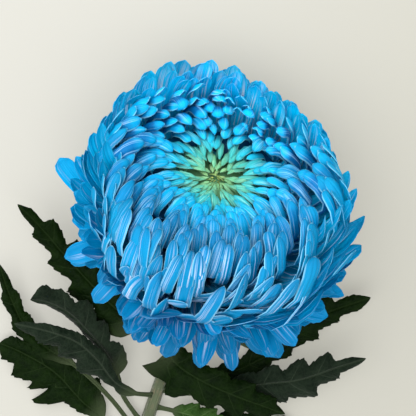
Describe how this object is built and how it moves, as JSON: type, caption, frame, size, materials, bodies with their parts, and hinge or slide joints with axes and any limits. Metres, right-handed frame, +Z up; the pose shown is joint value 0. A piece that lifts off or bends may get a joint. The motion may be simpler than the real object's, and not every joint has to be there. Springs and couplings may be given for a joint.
{
  "type": "dyed chrysanthemum",
  "caption": "Cut incurved chrysanthemum with a dyed blue head and a green heart, laid down on its outer rays with its leafy stem behind it.",
  "frame": {"origin": "on the surface it lies on, under the middle of the whole flower's box", "axes": "+Z up from the surface, +Y from the cut end of the stem towards the head, along the flower's length"},
  "size_m": [0.196, 0.2936, 0.1288],
  "materials": {
    "rays": "satin petal, dyed sky blue with pale streaks",
    "heart": "satin petal, yellow-green turning teal",
    "calyx": "matt, downy",
    "stem": "matt, ridged, downy",
    "leaf": "matt dark green, downy grey-green underneath"
  },
  "bodies": {
    "root": {"bloom_rays": "rays", "bloom_heart": "heart", "calyx": "calyx", "stem": "stem", "leaf_upper_left": "leaf", "leaf_far_left": "leaf", "leaf_curled_left": "leaf", "leaf_pale_left": "leaf", "leaf_broad_left": "leaf", "leaf_long_right": "leaf", "leaf_broad_front": "leaf", "leaf_dark_right": "leaf", "leaf_low_right": "leaf", "leaf_under_right": "leaf", "leaf_small_right": "leaf"}
  },
  "joints": []
}
